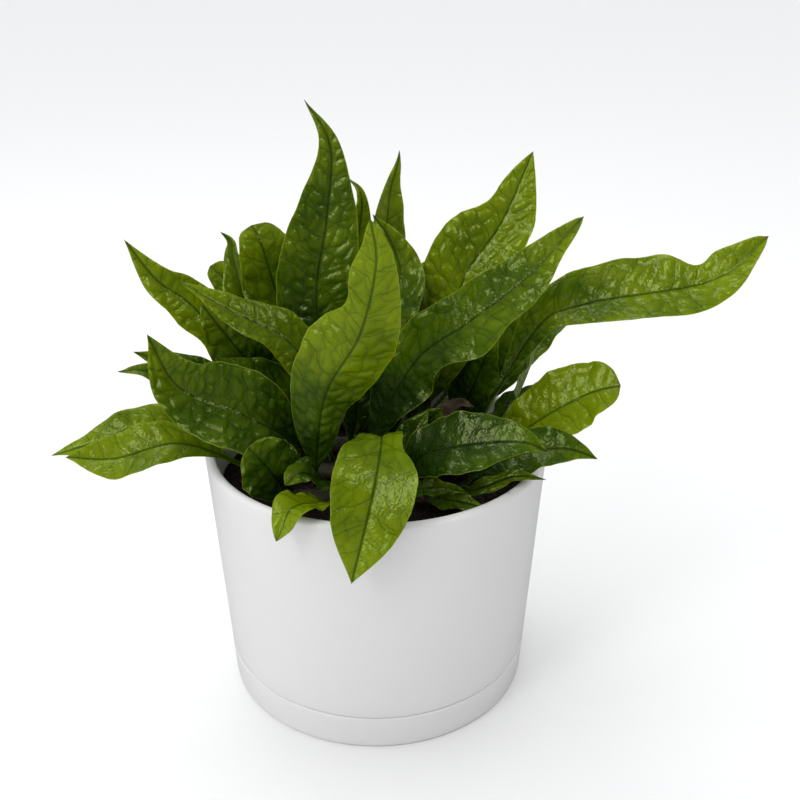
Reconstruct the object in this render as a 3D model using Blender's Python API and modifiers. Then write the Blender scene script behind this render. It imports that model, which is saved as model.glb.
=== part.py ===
"""A potted strap-leaved fern: pot, saucer, soil, rhizomes and fronds. Blender 4.5, metres, +Z up."""

import math

import bmesh
import bpy
import numpy as np
from mathutils import Vector

mm = 0.001

# Driving dimensions, in millimetres.
rim_radius = 87.5
foot_radius = 80.0
pot_top = 133.0
saucer_height = 19.0
pot_wall = 5.0
pot_floor = 6.0
rim_round = 2.4
saucer_wall = 4.5
saucer_floor = 5.0
foot_round = 1.2
spigot_clearance = 1.0
drain_radius = 6.0
freeboard = 21.0
soil_roughness = 0.8
rhizome_radius = 4.5
blade_thickness = 0.8
stalk_width = 2.6
stalk_thickness = 2.2
tip_width = 0.8
touch_gap = 0.3
edge_round = 0.6

# The plant grows with its pot. The routes below are drawn for a mouth of this radius, with the
# rim and each frond's foot this far above the soil. A blade keeps its place beside the rim when
# the soil or a rhizome changes, and its stalk reaches down or up to meet the rhizome.
drawn_mouth_radius = 82.5
drawn_freeboard = 21.0
drawn_foot_height = 11.5
plant_scale = (rim_radius - pot_wall) / drawn_mouth_radius

turned_steps = 48
rhizome_steps = 8
blade_lengthwise = 11
blade_across = 4

soil_top = pot_top - freeboard
rhizome_axis = soil_top + soil_roughness + touch_gap + rhizome_radius
frond_seat = rhizome_axis + rhizome_radius + touch_gap

# Where each creeping rhizome runs on the soil, seen from above: its two ends and its middle.
rhizomes = {
    "front": ((-50, -38), (0, -33), (48, -38)),
    "middle": ((-60, -6), (0, -8), (60, -4)),
    "back": ((-52, 26), (0, 22), (50, 28)),
    "rear": ((-30, 54), (0, 50), (32, 54)),
}

# Each frond grows from a place along a rhizome, through the points of its route, which are
# measured from the pot's axis and the soil as drawn. Its upper side faces a heading and a rise in
# degrees, at its foot and at its tip. Heading 0 is +X and 90 is the back, +Y. A bulge swells one
# margin, or draws it in: which side, at what share of the length, over what share, by how much.
fronds = (
    dict(grows=("back", 0.38), route=((-31, 30, 78), (-25, 34, 127), (-22, 35, 163), (-34, 34, 186)),
         width=43, faces=((-68, 10), (-84, 20)), widest=0.36, point=1.7,
         bulges=((1, 0.82, 0.10, -0.25), (-1, 0.78, 0.10, -0.25))),
    dict(grows=("front", 0.20), route=((-23, -42, 62), (-6, -50, 96), (2, -56, 130), (0, -58, 151)),
         width=38, faces=((95, 5), (80, 0)), stalk=0.08, widest=0.48, point=0.9,
         bulges=((1, 0.72, 0.07, -0.38), (1, 0.52, 0.12, 0.12), (-1, 0.85, 0.15, -0.15),
                 (-1, 0.28, 0.12, -0.2))),
    dict(grows=("middle", 0.42), route=((19, -14, 68), (45, -20, 92), (71, -26, 117), (93, -30, 145)),
         width=33, faces=((-110, 40), (-90, 40)), stalk=0.10, point=0.8, ruffle=2.2, ruffles=4.5,
         bulges=((1, 0.32, 0.06, 0.2), (1, 0.46, 0.05, -0.14), (1, 0.60, 0.06, 0.2),
                 (1, 0.92, 0.08, -0.25))),
    dict(grows=("back", 0.74), route=((36, 36, 62), (47, 40, 97), (65, 46, 123), (80, 52, 158)),
         width=45, faces=((-112, 20), (-88, 20)), point=1.0,
         bulges=((-1, 0.82, 0.06, -0.18), (-1, 0.66, 0.07, 0.14), (1, 0.84, 0.10, 0.1))),
    dict(grows=("back", 0.52), route=((4, 34, 68), (13, 40, 92), (8, 44, 112), (-2, 46, 127)),
         width=35, faces=((-118, 10), (-108, 30))),
    dict(grows=("rear", 0.60), route=((4, 54, 78), (6, 58, 129), (11, 60, 150), (12, 60, 157)),
         width=27, faces=((-55, 10), (-55, 10))),
    dict(grows=("middle", 0.85), route=((76, -8, 80), (98, -12, 97), (154, -24, 113), (177, -26, 135)),
         width=36, faces=((-130, 50), (-90, 50)), stalk=0.20, widest=0.62, point=0.8, fold=20,
         bulges=((-1, 0.82, 0.05, -0.42), (1, 0.77, 0.08, 0.22), (1, 0.50, 0.12, -0.15),
                 (-1, 0.55, 0.12, 0.14))),
    dict(grows=("middle", 0.97), route=((82, -16, 39), (102, -22, 55), (117, -28, 63)),
         width=36, faces=((-110, 50), (-80, 50)), widest=0.60, point=0.4),
    dict(grows=("front", 0.66), route=((22, -44, 33), (42, -54, 44), (66, -62, 50), (79, -66, 47)),
         width=32, faces=((-100, 50), (-90, 50))),
    dict(grows=("front", 0.92), route=((55, -36, 24), (76, -40, 34), (92, -44, 37), (105, -48, 34)),
         width=25, faces=((-100, 60), (-90, 50))),
    dict(grows=("front", 0.50), route=((0, -44, 36), (4, -62, 52), (1, -86, 40), (-9, -100, 0)),
         width=37, faces=((90, 40), (-90, 5)), stalk=0.22, widest=0.62, point=0.8,
         bulges=((-1, 0.50, 0.08, -0.45), (1, 0.46, 0.06, -0.2))),
    dict(grows=("front", 0.36), route=((-19, -52, 12), (-28, -70, 23), (-36, -83, 27), (-42, -91, 16)),
         width=20, faces=((60, 60), (-110, 50)), widest=0.60, point=0.9),
    dict(grows=("front", 0.29), route=((-26, -46, 22), (-34, -53, 29), (-41, -59, 26)),
         width=18, faces=((-100, 60), (-110, 60)), point=0.7),
    dict(grows=("front", 0.10), route=((-46, -44, 20), (-51, -49, 31), (-58, -53, 43)),
         width=31, faces=((-75, 25), (-70, 30)), stalk=0.18, widest=0.55, point=0.5),
    dict(grows=("middle", 0.18), route=((-40, -20, 28), (-64, -31, 49), (-90, -40, 67), (-101, -44, 95)),
         width=44, faces=((-70, 45), (-60, 20)), fold=24, ruffle=0.8),
    dict(grows=("middle", 0.31), route=((-30, -4, 54), (-44, -6, 78), (-67, -12, 94), (-91, -16, 111)),
         width=25, faces=((-70, 40), (-80, 50))),
    dict(grows=("back", 0.07), route=((-67, 20, 52), (-93, 17, 87), (-108, 12, 102), (-121, 8, 124)),
         width=28, faces=((-70, 30), (-80, 30)), bulges=((-1, 0.55, 0.08, -0.25),)),
    dict(grows=("rear", 0.02), route=((-66, 54, 65), (-77, 58, 97), (-78, 60, 108), (-84, 60, 114)),
         width=25, faces=((-30, 20), (-120, 20))),
    dict(grows=("back", 0.26), route=((-42, 41, 50), (-54, 47, 84), (-61, 50, 110), (-66, 54, 119)),
         width=37, faces=((-68, 15), (-70, 50)), widest=0.66, point=0.4),
    dict(grows=("middle", 0.03), route=((-80, -6, 22), (-113, -12, 34), (-138, -16, 27), (-163, -18, 20)),
         width=25, faces=((-90, 70), (-90, 60))),
    dict(grows=("front", 0.02), route=((-66, -34, 24), (-93, -40, 38), (-122, -46, 33), (-144, -50, 36)),
         width=28, faces=((-80, 60), (-90, 60)), stalk=0.16, widest=0.64),
    dict(grows=("back", 0.004), route=((-77, 16, 30), (-115, 12, 52), (-133, 10, 54)),
         width=22, faces=((-90, 60), (-90, 60))),
    dict(grows=("middle", 0.10), route=((-71, -6, 43), (-98, -9, 64), (-118, -10, 73)),
         width=24, faces=((-90, 50), (-90, 50))),
    dict(grows=("back", 0.17), route=((-55, 15, 44), (-71, 9, 68), (-86, 6, 92)),
         width=35, faces=((-76, 20), (-76, 20)), point=0.8),
    dict(grows=("middle", 0.24), route=((-42, 0, 34), (-58, 0, 50), (-80, -1, 66)),
         width=32, faces=((-75, 40), (-75, 40))),
    dict(grows=("rear", 0.11), route=((-42, 62, 32), (-70, 74, 66), (-94, 76, 90)),
         width=26, faces=((-80, 20), (-80, 50)), widest=0.66, point=0.4),
    dict(grows=("back", 0.86), route=((48, 26, 30), (57, 26, 54), (63, 26, 72)),
         width=30, faces=((-132, 20), (-124, 30))),
    dict(grows=("middle", 0.63), route=((19, -12, 24), (25, -17, 38), (33, -21, 48)),
         width=20, faces=((-70, 20), (-80, 20))),
    dict(grows=("rear", 0.88), route=((30, 54, 60), (34, 58, 92), (40, 60, 112)),
         width=30, faces=((-70, 10), (-70, 10))),
    dict(grows=("rear", 0.34), route=((-12, 58, 90), (-8, 62, 130), (-15, 64, 142)),
         width=20, faces=((-130, 10), (-60, 10))),
    dict(grows=("front", 0.76), route=((30, -49, 14), (42, -56, 15), (53, -60, 14)),
         width=12, faces=((-90, 60), (-90, 60))),
    dict(grows=("front", 0.57), route=((18, -45, 16), (32, -51, 20), (44, -55, 20)),
         width=11, faces=((-90, 50), (-90, 70))),
    dict(grows=("front", 0.83), route=((46, -50, 18), (66, -54, 28), (80, -57, 28)),
         width=8, faces=((-90, 60), (-90, 50))),
    dict(grows=("rear", 0.26), route=((-22, 84, 42), (-38, 104, 70), (-48, 118, 78)),
         width=34, faces=((-60, 50), (-60, 60))),
    dict(grows=("rear", 0.48), route=((-10, 76, 50), (-18, 98, 84), (-24, 117, 100)),
         width=36, faces=((-80, 40), (-80, 50))),
    dict(grows=("rear", 0.73), route=((22, 78, 48), (32, 100, 78), (40, 118, 86)),
         width=36, faces=((-100, 45), (-100, 60))),
    dict(grows=("rear", 0.98), route=((54, 70, 36), (78, 88, 56), (96, 100, 56)),
         width=32, faces=((-130, 50), (-130, 60))),
    dict(grows=("back", 0.97), route=((64, 40, 38), (92, 52, 64), (120, 60, 72)),
         width=32, faces=((-120, 40), (-130, 50))),
    dict(grows=("middle", 0.93), route=((70, 8, 34), (79, 11, 56), (84, 13, 76)),
         width=24, faces=((170, 20), (160, 40)), stalk=0.25),
    dict(grows=("back", 0.90), route=((59, 19, 16), (80, 24, 34), (97, 25, 38)),
         width=24, faces=((180, 60), (10, 70))),
    dict(grows=("back", 0.042), route=((-60, 38, 17), (-82, 44, 34), (-99, 50, 38)),
         width=26, faces=((-30, 60), (-40, 70))),
    dict(grows=("rear", 0.41), route=((-8, 66, 16), (-16, 84, 30), (-20, 106, 23)),
         width=28, faces=((-90, 60), (90, 60)), widest=0.55),
    dict(grows=("rear", 0.66), route=((12, 66, 14), (14, 84, 28), (18, 107, 18)),
         width=26, faces=((-100, 60), (80, 50)), widest=0.55),
    dict(grows=("rear", 0.80), route=((30, 68, 17), (48, 82, 31), (66, 96, 25)),
         width=24, faces=((-130, 60), (50, 60)), widest=0.55),
    dict(grows=("rear", 0.19), route=((-30, 68, 16), (-46, 79, 32), (-62, 92, 26)),
         width=27, faces=((-50, 60), (130, 60)), widest=0.55),
    dict(grows=("middle", 0.55), route=((8, -2, 30), (14, 4, 60), (16, 8, 84)),
         width=24, faces=((-150, 10), (-140, 10))),
    dict(grows=("middle", 0.36), route=((-11, 1, 30), (-10, 8, 56), (-9, 12, 80)),
         width=26, faces=((-40, 10), (-50, 15))),
    dict(grows=("back", 0.62), route=((20, 18, 30), (27, 18, 58), (33, 17, 80)),
         width=24, faces=((-140, 15), (-130, 20))),
    dict(grows=("front", 0.62), route=((12, -30, 16), (18, -26, 34), (26, -24, 48)),
         width=18, faces=((-120, 20), (-110, 20))),
)
dead_frond = dict(grows=("middle", 0.72), route=((34, 4, 30), (42, 6, 37), (51, 6, 36)),
                  width=12, faces=((-90, 40), (-90, 60)))

# What a frond has unless its own entry says otherwise.
usual_frond = dict(stalk=0.12, widest=0.45, point=1.15, fold=14, ruffle=1.4, ruffles=3.5, bulges=())

colours = {
    "ceramic": (0.86, 0.86, 0.85, 1.0),
    "soil": (0.020, 0.015, 0.011, 1.0),
    "rhizome": (0.085, 0.055, 0.022, 1.0),
    "frond": (0.135, 0.265, 0.016, 1.0),
    "dead": (0.11, 0.072, 0.034, 1.0),
}


def material(name, roughness):
    made = bpy.data.materials.new(name)
    made.use_nodes = True
    shader = made.node_tree.nodes["Principled BSDF"]
    shader.inputs["Base Color"].default_value = colours[name]
    shader.inputs["Roughness"].default_value = roughness
    shader.inputs["Metallic"].default_value = 0.0
    made.diffuse_color = colours[name]
    return made


def link_mesh(name, mesh, look):
    part = bpy.data.objects.new(name, mesh)
    plant.objects.link(part)
    mesh.materials.append(look)
    return part


def turned(name, profile, closed, look):
    """Turns a profile of (radius, height) in millimetres about the pot's axis."""
    points = [Vector((radius * mm, 0, height * mm)) for radius, height in profile]
    edges = [(i, i + 1) for i in range(len(points) - 1)]
    if closed:
        edges.append((len(points) - 1, 0))
    mesh = bpy.data.meshes.new(name)
    mesh.from_pydata(points, edges, [])
    part = link_mesh(name, mesh, look)
    screw = part.modifiers.new("Turn", "SCREW")
    screw.steps = turned_steps
    screw.render_steps = turned_steps
    screw.use_merge_vertices = True
    screw.merge_threshold = 0.00005
    screw.use_smooth_shade = True
    return part


def rounded(centre, radius, start, end, steps):
    """Points on an arc about a centre, from one angle to another in degrees."""
    angles = [math.radians(start + (end - start) * i / steps) for i in range(steps + 1)]
    return [(centre[0] + radius * math.cos(a), centre[1] + radius * math.sin(a)) for a in angles]


def outer_radius(height):
    """The one straight taper that the saucer and the pot share."""
    return foot_radius + (rim_radius - foot_radius) * height / pot_top


saucer_inner_radius = foot_radius - saucer_wall
spigot_radius = saucer_inner_radius - spigot_clearance
spigot_bottom = saucer_floor + touch_gap
pot_shoulder = saucer_height + touch_gap
pot_inner_floor = spigot_bottom + pot_floor
pot_inner_foot = spigot_radius - pot_wall
pot_step = pot_shoulder + pot_wall


def inner_radius(height):
    """The pot's inside above its step, one wall in from the outside."""
    return outer_radius(height) - pot_wall


def saucer():
    top = outer_radius(saucer_height)
    profile = [(0, saucer_floor), (saucer_inner_radius, saucer_floor)]
    profile += [(top - saucer_wall / 2, saucer_height), (top - edge_round, saucer_height)]
    profile += [(top, saucer_height - edge_round)]
    profile += rounded((foot_radius - foot_round, foot_round), foot_round, 0, -90, 3)
    profile += [(0, 0)]
    return turned("saucer", profile, False, ceramic)


def pot():
    rim_outside = (outer_radius(pot_top) - rim_round, pot_top - rim_round)
    rim_inside = (rim_radius - pot_wall + rim_round, pot_top - rim_round)
    profile = rounded(rim_inside, rim_round, 180, 90, 3)
    profile += rounded(rim_outside, rim_round, 90, 0, 3)
    profile += [(outer_radius(pot_shoulder + edge_round), pot_shoulder + edge_round)]
    profile += [(outer_radius(pot_shoulder) - edge_round, pot_shoulder)]
    profile += [(spigot_radius, pot_shoulder), (spigot_radius, spigot_bottom)]
    profile += [(drain_radius, spigot_bottom), (drain_radius, pot_inner_floor)]
    profile += [(pot_inner_foot, pot_inner_floor), (pot_inner_foot, pot_step)]
    profile += [(inner_radius(pot_step), pot_step + pot_wall)]
    return turned("pot", profile, True, ceramic)


def soil():
    bottom = pot_inner_floor + touch_gap
    edge = inner_radius(soil_top) - touch_gap
    profile = [(edge * share, soil_top) for share in (0, 0.25, 0.5, 0.75, 1)]
    profile += [(inner_radius(pot_step) - touch_gap, pot_step + pot_wall)]
    profile += [(pot_inner_foot - touch_gap, pot_step), (pot_inner_foot - touch_gap, bottom), (0, bottom)]
    part = turned("soil", profile, False, earth)
    graph = bpy.context.evaluated_depsgraph_get()
    mesh = bpy.data.meshes.new_from_object(part.evaluated_get(graph))
    part.modifiers.clear()
    part.data = mesh
    for vertex in mesh.vertices:
        x, y = (place / mm / plant_scale for place in vertex.co.xy)
        if vertex.co.z > (soil_top - touch_gap) * mm:
            vertex.co.z += soil_roughness * mm * math.sin(x / 11) * math.cos(y / 9 + x / 17)
    return part


def bowed(three, share):
    """A smooth line through three places at shares 0, 0.5 and 1."""
    first, middle, last = (Vector(place) for place in three)
    bend = 2 * middle - (first + last) / 2
    return (1 - share) ** 2 * first + 2 * share * (1 - share) * bend + share**2 * last


def rhizome_place(arm, share):
    flat = bowed(rhizomes[arm], share) * plant_scale
    return Vector((flat.x, flat.y, rhizome_axis))


def rhizome(arm):
    curve = bpy.data.curves.new("rhizome_" + arm, "CURVE")
    curve.dimensions = "3D"
    curve.bevel_depth = rhizome_radius * mm
    curve.bevel_resolution = 2
    curve.use_fill_caps = True
    spline = curve.splines.new("POLY")
    spline.points.add(rhizome_steps)
    for i in range(rhizome_steps + 1):
        spline.points[i].co = (*(rhizome_place(arm, i / rhizome_steps) * mm), 1)
    part = bpy.data.objects.new("rhizome_" + arm, curve)
    plant.objects.link(part)
    curve.materials.append(rhizome_skin)
    return part


def smooth_route(places, count):
    """Evenly spaced points on the smooth curve through these places."""
    places = np.array(places, float)
    ends = np.vstack([2 * places[0] - places[1], places, 2 * places[-1] - places[-2]])
    fine = []
    for i in range(len(places) - 1):
        a, b, c, d = ends[i : i + 4]
        for t in np.linspace(0, 1, 24, endpoint=i == len(places) - 2):
            bend = 2 * b + (c - a) * t + (2 * a - 5 * b + 4 * c - d) * t**2
            fine.append((bend + (3 * b - a - 3 * c + d) * t**3) / 2)
    fine = np.array(fine)
    run = np.concatenate([[0], np.cumsum(np.linalg.norm(np.diff(fine, axis=0), axis=1))])
    even = np.linspace(0, run[-1], count)
    return np.stack([np.interp(even, run, fine[:, axis]) for axis in range(3)], axis=1)


def direction(heading, rise):
    heading, rise = math.radians(heading), math.radians(rise)
    level = math.cos(rise)
    return np.array([level * math.cos(heading), level * math.sin(heading), math.sin(rise)])


def unit(vectors):
    return vectors / np.linalg.norm(vectors, axis=-1, keepdims=True)


def frond_frame(entry):
    """The midrib's points, and at each the directions across the blade and out of its upper side.

    The foot's lower edge sits on the rhizome, whichever way the foot is turned.
    """
    foot = rhizome_place(*entry["grows"])
    drawn = [(foot.x / plant_scale, foot.y / plant_scale, drawn_foot_height), *entry["route"]]
    rim_level = np.array((0, 0, pot_top - drawn_freeboard * plant_scale))
    midrib = smooth_route(drawn, blade_lengthwise + 1) * plant_scale + rim_level
    midrib[0, 2] = frond_seat + stalk_thickness / 2
    along = unit(np.gradient(midrib, axis=0))
    share = np.linspace(0, 1, len(midrib))[:, None]
    first, last = (direction(*way) for way in entry["faces"])
    facing = first * (1 - share) + last * share
    upper = unit(facing - along * np.sum(facing * along, axis=1, keepdims=True))
    across = np.cross(along, upper)
    half_depth = abs(upper[0, 2]) * stalk_thickness / 2 + abs(across[0, 2]) * stalk_width / 2
    midrib[0, 2] = frond_seat + half_depth
    return midrib, across, upper


def half_width(entry, share):
    """Half the blade's width at a share of the frond's length: a stalk, then a pointed strap."""
    blade = np.clip((share - entry["stalk"]) / (1 - entry["stalk"]), 0, 1)
    rise = entry["point"] * entry["widest"] / (1 - entry["widest"])
    shape = (blade / entry["widest"]) ** rise * ((1 - blade) / (1 - entry["widest"])) ** entry["point"]
    stalk = stalk_width + (tip_width - stalk_width) * share
    return np.sqrt((stalk / 2) ** 2 + (entry["width"] * plant_scale / 2 * shape) ** 2)


def swelling(entry, side, share):
    """How much wider one margin is than the even strap, at a share of the frond's length."""
    total = 1
    for which, centre, spread, amount in entry["bulges"]:
        if which * side > 0:
            total += amount * math.exp(-(((share - centre) / spread) ** 2))
    return total


def frond(name, entry, look, phase):
    entry = usual_frond | entry
    midrib, across, upper = frond_frame(entry)
    grid = bmesh.new()
    bmesh.ops.create_grid(grid, x_segments=blade_lengthwise, y_segments=blade_across, size=1)
    thickness = grid.verts.layers.deform.new()
    fold = math.radians(entry["fold"])
    for vertex in grid.verts:
        station = round((vertex.co.x + 1) / 2 * blade_lengthwise)
        side = vertex.co.y
        share = station / blade_lengthwise
        half = half_width(entry, share) * swelling(entry, side, share)
        broad = min(1, half / (entry["width"] * plant_scale / 2))
        wave = math.sin(2 * math.pi * entry["ruffles"] * share + phase + math.copysign(0.6, side))
        lift = half * math.sin(fold) * abs(side) + entry["ruffle"] * broad * side * side * wave
        place = midrib[station] + across[station] * side * half * math.cos(fold) + upper[station] * lift
        vertex.co = Vector(place * mm)
        vertex[thickness][0] = 1 if share < entry["stalk"] else blade_thickness / stalk_thickness
    mesh = bpy.data.meshes.new(name)
    grid.to_mesh(mesh)
    grid.free()
    part = link_mesh(name, mesh, look)
    part.vertex_groups.new(name="thickness")
    solid = part.modifiers.new("Thickness", "SOLIDIFY")
    solid.thickness = stalk_thickness * mm
    solid.offset = 0
    solid.vertex_group = "thickness"
    return part


for old in list(bpy.data.objects):
    bpy.data.objects.remove(old)

plant = bpy.data.collections.new("potted_fern")
bpy.context.scene.collection.children.link(plant)

ceramic = material("ceramic", 0.25)
earth = material("soil", 0.95)
rhizome_skin = material("rhizome", 0.8)
leaf = material("frond", 0.35)
dead_leaf = material("dead", 0.8)

saucer()
pot()
soil()
for arm in rhizomes:
    rhizome(arm)
for number, entry in enumerate(fronds, 1):
    frond(f"frond_{number:02d}", entry, leaf, 2.4 * number)
frond("dead_frond", dead_frond, dead_leaf, 0)
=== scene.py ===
import functools
import math

import bmesh
import bpy
import numpy as np
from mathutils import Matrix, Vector, noise


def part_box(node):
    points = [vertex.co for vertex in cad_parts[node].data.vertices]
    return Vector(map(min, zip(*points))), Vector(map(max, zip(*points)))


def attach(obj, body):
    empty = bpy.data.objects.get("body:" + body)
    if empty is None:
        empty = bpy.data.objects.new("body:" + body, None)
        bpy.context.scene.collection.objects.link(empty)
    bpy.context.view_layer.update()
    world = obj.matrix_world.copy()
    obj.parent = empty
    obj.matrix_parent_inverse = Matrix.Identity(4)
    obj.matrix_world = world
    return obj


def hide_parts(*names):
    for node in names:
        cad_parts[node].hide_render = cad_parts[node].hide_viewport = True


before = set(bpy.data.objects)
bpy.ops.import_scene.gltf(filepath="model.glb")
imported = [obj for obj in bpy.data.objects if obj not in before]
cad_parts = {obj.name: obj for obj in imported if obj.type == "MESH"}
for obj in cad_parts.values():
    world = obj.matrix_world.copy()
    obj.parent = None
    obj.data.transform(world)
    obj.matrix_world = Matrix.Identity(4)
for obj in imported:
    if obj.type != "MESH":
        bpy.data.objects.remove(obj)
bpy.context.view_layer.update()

mm = 0.001
print("frame loaded:", len(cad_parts), "nodes")


# Small helpers for node trees. They serve shader trees and geometry trees alike.

def feed(tree, socket, value):
    if isinstance(value, bpy.types.NodeSocket):
        tree.links.new(value, socket)
    else:
        socket.default_value = value


def newNode(tree, kind, inputs=(), **settings):  # inputs are fed by name or by number
    node = tree.nodes.new(kind)
    for name, value in settings.items():
        setattr(node, name, value)
    for key, value in dict(inputs).items():
        feed(tree, node.inputs[key], value)
    return node


def calc(tree, operation, *values):
    return newNode(tree, "ShaderNodeMath", enumerate(values), operation=operation).outputs[0]


def chain(tree, operation, *values):
    return functools.reduce(functools.partial(calc, tree, operation), values)


def arithmetic(tree):  # any one operation, a sum of several and a product of several
    return (functools.partial(calc, tree), functools.partial(chain, tree, "ADD"),
            functools.partial(chain, tree, "MULTIPLY"))


def swing(tree, value, amount):  # turns a noise of 0 to 1 into one about zero
    return calc(tree, "MULTIPLY", calc(tree, "SUBTRACT", value, 0.5), amount)


def clamped(tree, value):
    return newNode(tree, "ShaderNodeClamp", {0: value}).outputs[0]


def step(tree, value, low, high, newLow=0.0, newHigh=1.0):  # a smooth ramp, held at both ends
    values = enumerate((value, low, high, newLow, newHigh))
    return newNode(tree, "ShaderNodeMapRange", values, interpolation_type="SMOOTHSTEP").outputs[0]


def vector(tree, operation, *values):
    sockets = (0, 3) if operation == "SCALE" else (0, 1)
    node = newNode(tree, "ShaderNodeVectorMath", zip(sockets, values), operation=operation)
    return node.outputs["Value" if operation == "LENGTH" else "Vector"]


def joined(tree, x, y, z=0.0):
    return newNode(tree, "ShaderNodeCombineXYZ", enumerate((x, y, z))).outputs[0]


def parted(tree, value):
    return newNode(tree, "ShaderNodeSeparateXYZ", {0: value}).outputs


def clouds(tree, place, scale, detail=2.0):
    values = dict(Vector=place, Scale=scale, Detail=detail)
    return newNode(tree, "ShaderNodeTexNoise", values).outputs[0]


def cells(tree, place, scale):  # distance to the nearest edge between cells
    node = newNode(tree, "ShaderNodeTexVoronoi", dict(Vector=place, Scale=scale),
                   feature="DISTANCE_TO_EDGE", voronoi_dimensions="2D")
    return node.outputs["Distance"]


def mixed(tree, share, first, second, blend="MIX"):
    values = {0: share, 6: first, 7: second}
    return newNode(tree, "ShaderNodeMix", values, data_type="RGBA", blend_type=blend).outputs[2]


def solid(red, green, blue):
    return red, green, blue, 1.0


def newMaterial(name, **values):
    look = bpy.data.materials.new(name)
    look.use_nodes = True
    shader = look.node_tree.nodes["Principled BSDF"]
    for key, value in values.items():
        shader.inputs[key].default_value = value
    return look, look.node_tree, shader


def bumped(tree, shader, height, distance, strength):
    values = dict(Strength=strength, Distance=distance, Height=height)
    feed(tree, shader.inputs["Normal"], newNode(tree, "ShaderNodeBump", values).outputs[0])


def objectPlace(tree):
    return newNode(tree, "ShaderNodeTexCoord").outputs["Object"]


def attribute(tree, name):
    return newNode(tree, "ShaderNodeAttribute", attribute_name=name).outputs


# Helpers for geometry trees alone.

def treeInputs(tree, lengths, **names):  # a tree's named inputs, by kind; lengths take mm
    for kind, listed in names.items():
        for name in listed.split():
            made = tree.interface.new_socket(name, in_out="INPUT", socket_type="NodeSocket" + kind)
            if name in lengths.split():
                made.subtype = "DISTANCE"
    return newNode(tree, "NodeGroupInput").outputs


def passed(tree, kind, geometry, **values):  # one geometry node in a chain
    return newNode(tree, kind, {0: geometry, **values}).outputs[0]


def namedField(tree, name):
    node = newNode(tree, "GeometryNodeInputNamedAttribute", dict(Name=name),
                   data_type="FLOAT_VECTOR")
    return node.outputs[0]


def sampleCurve(tree, curve, name, share):  # a vector kept on the midrib, and the place there
    values = dict(Curves=curve, Value=namedField(tree, name), Factor=share)
    node = newNode(tree, "GeometryNodeSampleCurve", values, data_type="FLOAT_VECTOR",
                   mode="FACTOR", use_all_curves=False)
    return node.outputs["Value"], node.outputs["Position"]


def store(tree, geometry, name, value, kind="FLOAT_VECTOR", domain="POINT"):
    values = dict(Geometry=geometry, Name=name, Value=value)
    node = newNode(tree, "GeometryNodeStoreNamedAttribute", values, data_type=kind, domain=domain)
    return node.outputs[0]


def finished(tree, geometry, look):  # every tree ends this way
    geometry = passed(tree, "GeometryNodeRealizeInstances", geometry)
    geometry = passed(tree, "GeometryNodeSetMaterial", geometry, Material=look)
    tree.interface.new_socket("Geometry", in_out="OUTPUT", socket_type="NodeSocketGeometry")
    tree.links.new(geometry, tree.nodes.new("NodeGroupOutput").inputs[0])
    return tree


def placed(name, data):  # an object at the origin, unturned
    item = bpy.data.objects.new(name, data)
    bpy.context.scene.collection.objects.link(item)
    return item


def plainMesh(guide, tree, values):  # runs a tree on a guide and keeps the result as a plain mesh
    modifier = guide.modifiers.new("Build", "NODES")
    modifier.node_group = tree
    for socket in tree.interface.items_tree:
        if socket.in_out == "INPUT" and socket.name in values:
            value = values[socket.name]
            isLength = getattr(socket, "subtype", "") == "DISTANCE"
            modifier[socket.identifier] = value * mm if isLength else value
    graph = bpy.context.evaluated_depsgraph_get()
    mesh = bpy.data.meshes.new_from_object(guide.evaluated_get(graph))
    name = guide.name
    bpy.data.objects.remove(guide)
    mesh.name = name
    return placed(name, mesh)


def settle(piece, slot, *nodes):  # the part's one body carries everything
    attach(piece, "root")
    if nodes:
        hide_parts(*nodes)


# The leaf's net of veins, in millimetres along and across the blade. The blade's shape and its
# colour both read it, so that the dark veins lie in the valleys.

veins = dict(sideSpacing=11.0, sideSlope=0.55, sideValley=1.8, netCell=7.2, netValley=2.1,
             ribValley=2.4, wander=3.8, wanderSize=0.10)


def veinNet(tree, along, sideways):
    # Gives the distances in mm to the nearest side vein, the nearest net vein and the midrib.
    do, plus, times = arithmetic(tree)
    fromRib = do("ABSOLUTE", sideways)
    drift = clouds(tree, joined(tree, along, sideways), veins["wanderSize"])
    drift = swing(tree, drift, 2 * veins["wander"])
    swept = plus(do("SUBTRACT", along, times(fromRib, veins["sideSlope"])), drift)
    stagger = times(do("SIGN", sideways), veins["sideSpacing"] / 4)
    side = do("PINGPONG", plus(swept, stagger), veins["sideSpacing"] / 2)
    spot = joined(tree, swept, plus(sideways, times(drift, 0.5)))
    net = times(cells(tree, spot, 1 / veins["netCell"]), veins["netCell"])
    return side, net, fromRib


# Geometry Nodes tree: one frond, a stalk and a strap blade, as a closed strip round its midrib.
# Fades and ramps are shares of the blade's length or of its half width.

form = dict(footRamp=0.008, tipRound=70, footFade=0.08, ribFade=0.3, marginFade=(0.99, 0.80),
            marginPatches=9, sidesApart=3, marginLeast=0.89, marginSwing=0.22,
            creaseRound=0.008, stalkEnd=(1.7, 0.7), waveLag=0.6, secondWave=2.3,
            secondShift=1.1, secondShare=0.35, ridgeSharp=0.8, ridgeFoot=0.85, ridgeFall=0.75,
            groove=0.35)


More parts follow.
